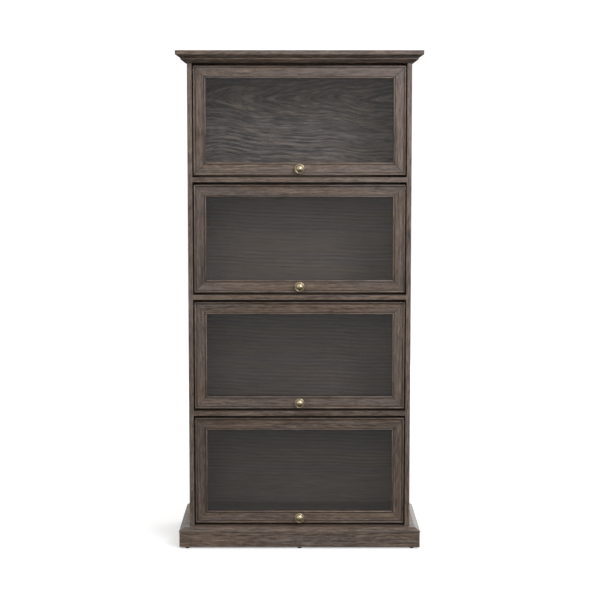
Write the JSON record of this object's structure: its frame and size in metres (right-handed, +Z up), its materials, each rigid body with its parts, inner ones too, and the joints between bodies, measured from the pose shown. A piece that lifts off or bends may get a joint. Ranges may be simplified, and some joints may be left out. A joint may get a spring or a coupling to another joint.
{
  "type": "barrister bookcase",
  "caption": "Tall bookcase with a stepped crown and a bevelled plinth; each compartment has a framed glass door that lifts and slides back inside.",
  "frame": {"origin": "centre of the bounding box in plan, at the floor under the glides", "axes": "+Z up, -Y towards the front with the doors, +X to the right seen from the front"},
  "size_m": [0.788, 0.367, 1.6065],
  "materials": {
    "woodgrain": "dark grey-brown woodgrain laminate, satin, with fine linear grain",
    "back_board": "thin board with the same grain on its inner face",
    "glass": "clear flat glass",
    "antique_brass": "antique brass, dark in its hollows and rubbed on its rim and dome",
    "zinc_steel": "zinc-plated steel",
    "nylon": "dark nylon",
    "dark_plastic": "dark plastic"
  },
  "bodies": {
    "carcass": {"top_board": "woodgrain", "crown_front": "woodgrain", "crown_left": "woodgrain", "crown_right": "woodgrain", "top_panel": "woodgrain", "left_side": "woodgrain", "right_side": "woodgrain", "shelf_1": "woodgrain", "shelf_2": "woodgrain", "shelf_3": "woodgrain", "base_board": "woodgrain", "back_panel": "back_board", "plinth_front": "woodgrain", "plinth_left": "woodgrain", "plinth_right": "woodgrain", "plinth_back": "woodgrain", "glides": "dark_plastic", "tracks": "zinc_steel", "carcass_fasteners": "zinc_steel", "back_nails": "zinc_steel"},
    "carriage_1": {"door_1_slider_shoes": "nylon"},
    "door_1": {"door_1_top_rail": "woodgrain", "door_1_bottom_rail": "woodgrain", "door_1_left_stile": "woodgrain", "door_1_right_stile": "woodgrain", "door_1_glass": "glass", "door_1_glass_strips": "dark_plastic", "door_1_knob": "antique_brass", "door_1_knob_screw": "zinc_steel", "door_1_pivot_pins": "zinc_steel"},
    "carriage_2": {"door_2_slider_shoes": "nylon"},
    "door_2": {"door_2_top_rail": "woodgrain", "door_2_bottom_rail": "woodgrain", "door_2_left_stile": "woodgrain", "door_2_right_stile": "woodgrain", "door_2_glass": "glass", "door_2_glass_strips": "dark_plastic", "door_2_knob": "antique_brass", "door_2_knob_screw": "zinc_steel", "door_2_pivot_pins": "zinc_steel"},
    "carriage_3": {"door_3_slider_shoes": "nylon"},
    "door_3": {"door_3_top_rail": "woodgrain", "door_3_bottom_rail": "woodgrain", "door_3_left_stile": "woodgrain", "door_3_right_stile": "woodgrain", "door_3_glass": "glass", "door_3_glass_strips": "dark_plastic", "door_3_knob": "antique_brass", "door_3_knob_screw": "zinc_steel", "door_3_pivot_pins": "zinc_steel"},
    "carriage_4": {"door_4_slider_shoes": "nylon"},
    "door_4": {"door_4_top_rail": "woodgrain", "door_4_bottom_rail": "woodgrain", "door_4_left_stile": "woodgrain", "door_4_right_stile": "woodgrain", "door_4_glass": "glass", "door_4_glass_strips": "dark_plastic", "door_4_knob": "antique_brass", "door_4_knob_screw": "zinc_steel", "door_4_pivot_pins": "zinc_steel"}
  },
  "joints": [
    {"name": "door_1_slide", "type": "slide", "parent": "carcass", "child": "carriage_1", "axis": [0, 1, 0], "range_m": [0, 0.25]},
    {"name": "door_1_lift", "type": "hinge", "parent": "carriage_1", "child": "door_1", "pos_m": [0, -0.1345, 1.545], "axis": [-1, 0, 0], "range_deg": [0, 90]},
    {"name": "door_2_slide", "type": "slide", "parent": "carcass", "child": "carriage_2", "axis": [0, 1, 0], "range_m": [0, 0.25]},
    {"name": "door_2_lift", "type": "hinge", "parent": "carriage_2", "child": "door_2", "pos_m": [0, -0.1345, 1.166], "axis": [-1, 0, 0], "range_deg": [0, 90]},
    {"name": "door_3_slide", "type": "slide", "parent": "carcass", "child": "carriage_3", "axis": [0, 1, 0], "range_m": [0, 0.25]},
    {"name": "door_3_lift", "type": "hinge", "parent": "carriage_3", "child": "door_3", "pos_m": [0, -0.1345, 0.787], "axis": [-1, 0, 0], "range_deg": [0, 90]},
    {"name": "door_4_slide", "type": "slide", "parent": "carcass", "child": "carriage_4", "axis": [0, 1, 0], "range_m": [0, 0.25]},
    {"name": "door_4_lift", "type": "hinge", "parent": "carriage_4", "child": "door_4", "pos_m": [0, -0.1345, 0.408], "axis": [-1, 0, 0], "range_deg": [0, 90]}
  ]
}
